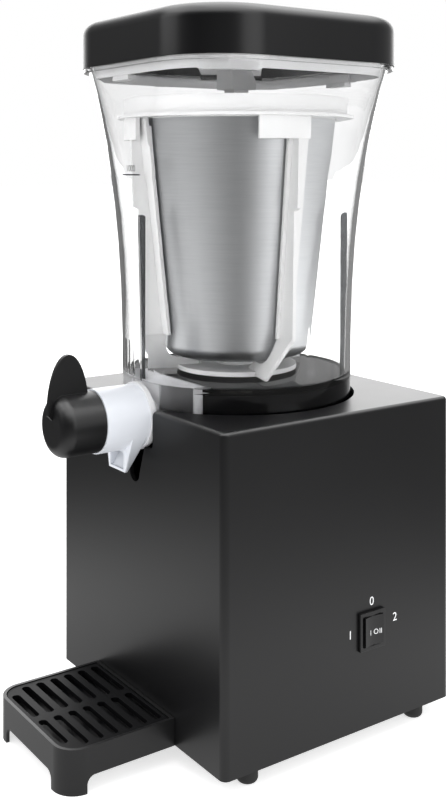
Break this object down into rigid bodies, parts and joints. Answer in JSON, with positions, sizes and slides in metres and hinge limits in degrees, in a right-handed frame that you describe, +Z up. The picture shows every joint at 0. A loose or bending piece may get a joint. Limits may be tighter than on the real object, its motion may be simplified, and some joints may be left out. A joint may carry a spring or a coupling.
{
  "type": "slush machine",
  "caption": "Counter-top slush machine: black base with geared motor, clear lift-off bowl with frozen core and turning scraper, turn tap, square lid and drip tray.",
  "frame": {"origin": "on the floor, below the middle of the machine's box in width and depth, the drip tray included", "axes": "+Z up, -Y out of the front where the tap and the drip tray are, +X to the machine's left as it faces the user, the side with the switch"},
  "size_m": [0.2035, 0.2606, 0.462],
  "materials": {
    "housing": "satin black moulding, fine grain",
    "seat": "matt black moulding",
    "lid": "satin black moulding",
    "knob": "satin black moulding",
    "clear": "clear moulded plastic",
    "white": "cool white moulding",
    "milky": "milky white moulding, slightly see-through",
    "core": "fine brushed round the axis",
    "rubber": "dark rubber",
    "steel": "turned steel",
    "brass": "plain turned",
    "gear": "natural acetal",
    "case": "grey moulding",
    "can": "plated steel",
    "magnet": "sintered ferrite",
    "copper": "varnished winding and stack"
  },
  "bodies": {
    "base": {"base_housing": "housing", "base_plate": "seat", "feet": "rubber", "plate_screws": "steel", "bowl_seat": "seat", "seat_screws": "steel", "gearbox_case": "case", "gearbox_cover": "case", "gearbox_screws": "steel", "output_bushes": "brass", "idler_axle": "steel", "motor_can": "can", "motor_magnets": "magnet", "motor_end_cap": "seat", "motor_screws": "steel", "switch_frame": "knob", "switch_terminals": "brass", "dc_inlet": "seat", "dc_inlet_nut": "steel"},
    "switch_rocker": {"rocker": "knob"},
    "drive_train": {"output_gear": "gear", "output_shaft": "steel", "drive_dog": "seat"},
    "idler": {"idler_gear": "gear"},
    "motor_rotor": {"motor_shaft": "steel", "motor_armature": "copper", "motor_pinion": "brass"},
    "bowl_set": {"bowl": "clear", "spindle_bush": "gear", "spindle_seal": "rubber", "tap_body": "white", "tap_oring": "rubber", "core_can": "core", "core_cap": "milky"},
    "scraper": {"scraper_frame": "milky", "spindle": "steel", "spindle_dog": "seat"},
    "tap_valve": {"tap_plug": "knob", "tap_knob": "knob", "plug_oring": "rubber"},
    "lid": {"lid_cover": "lid", "lid_liner": "clear"},
    "tray": {"drip_tray": "housing"},
    "grille": {"drip_grille": "seat"}
  },
  "joints": [
    {"name": "bowl_lift", "type": "slide", "parent": "base", "child": "bowl_set", "axis": [0, 0, 1], "range_m": [0, 0.09]},
    {"name": "lid_lift", "type": "slide", "parent": "bowl_set", "child": "lid", "axis": [0, 0, 1], "range_m": [0, 0.07]},
    {"name": "scraper_spin", "type": "hinge", "parent": "bowl_set", "child": "scraper", "pos_m": [0, 0.02575, 0.224], "axis": [0, 0, 1], "continuous": true},
    {"name": "drive_spin", "type": "hinge", "parent": "base", "child": "drive_train", "pos_m": [0, 0.02575, 0.18], "axis": [0, 0, 1], "continuous": true},
    {"name": "idler_spin", "type": "hinge", "parent": "base", "child": "idler", "pos_m": [0, 0.0695, 0.18], "axis": [0, 0, 1], "continuous": true},
    {"name": "pinion_spin", "type": "hinge", "parent": "base", "child": "motor_rotor", "pos_m": [0.018, 0.10068, 0.14], "axis": [0, 0, 1], "continuous": true},
    {"name": "tap_turn", "type": "hinge", "parent": "bowl_set", "child": "tap_valve", "pos_m": [0, -0.07325, 0.2025], "axis": [0, 1, 0], "range_deg": [0, 90]},
    {"name": "rocker_tilt", "type": "hinge", "parent": "base", "child": "switch_rocker", "pos_m": [0.0992, 0.05825, 0.0713], "axis": [0, 0, 1], "range_deg": [-11, 11]},
    {"name": "tray_pull", "type": "slide", "parent": "base", "child": "tray", "axis": [0, -1, 0], "range_m": [0, 0.06]},
    {"name": "grille_lift", "type": "slide", "parent": "tray", "child": "grille", "axis": [0, 0, 1], "range_m": [0, 0.03]}
  ],
  "couplings": [
    {"joint": "drive_spin", "follows": "scraper_spin", "ratio": 1},
    {"joint": "idler_spin", "follows": "scraper_spin", "ratio": -4},
    {"joint": "pinion_spin", "follows": "scraper_spin", "ratio": 20}
  ]
}
